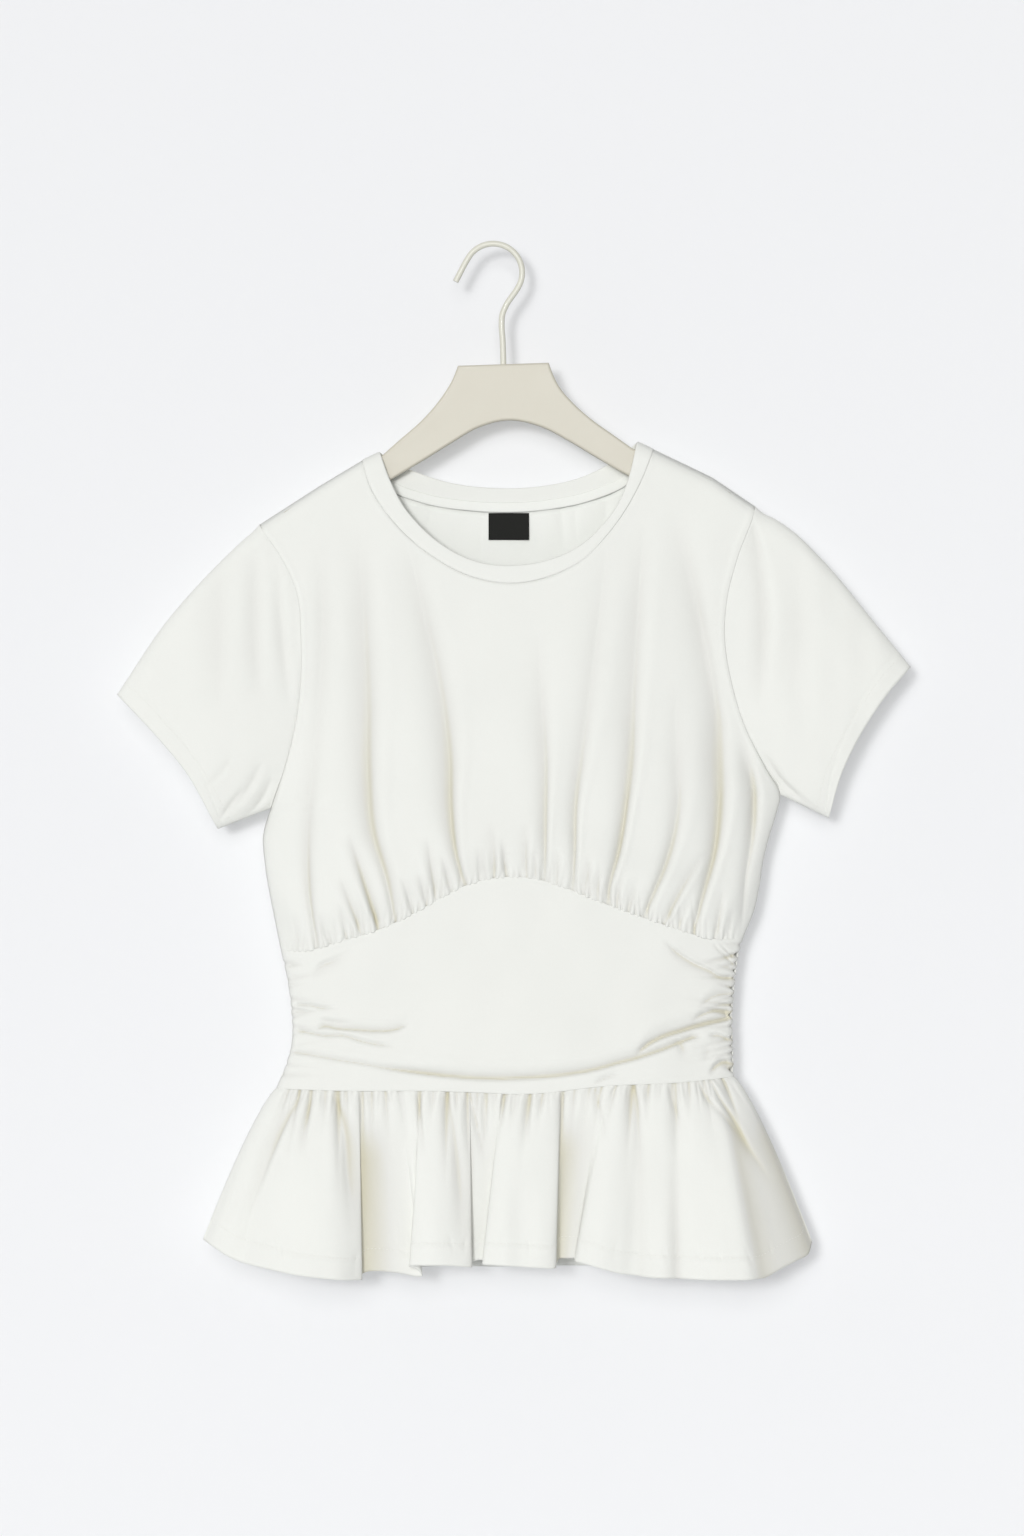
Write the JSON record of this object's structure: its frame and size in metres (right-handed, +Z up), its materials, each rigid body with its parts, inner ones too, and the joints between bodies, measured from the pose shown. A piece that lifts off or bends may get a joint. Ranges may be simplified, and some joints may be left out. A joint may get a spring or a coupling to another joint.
{
  "type": "peplum top on a hanger",
  "caption": "White jersey top with short sleeves, gathered bust, ruched waist and flared peplum frill, hanging on a flat hanger with a wire hook.",
  "frame": {"origin": "underside of the hook's crown, where the hanger rests on a rail or a peg", "axes": "+Z up, +X to the viewer's right seen from the front, the garment's front faces -Y"},
  "size_m": [0.6032, 0.0773, 0.788],
  "materials": {
    "jersey": "off-white cotton jersey, matt, fine knit",
    "label": "black woven label, bare",
    "hanger": "satin beige lacquer",
    "wire": "satin beige enamel on steel wire"
  },
  "bodies": {
    "root": {"bodice_front": "jersey", "bodice_back": "jersey", "sleeve_left": "jersey", "sleeve_right": "jersey", "neckband": "jersey", "neck_tape": "jersey", "waist_front": "jersey", "waist_back": "jersey", "peplum_front": "jersey", "peplum_back": "jersey", "woven_label": "label", "hanger_body": "hanger", "hook_wire": "wire"}
  },
  "joints": []
}
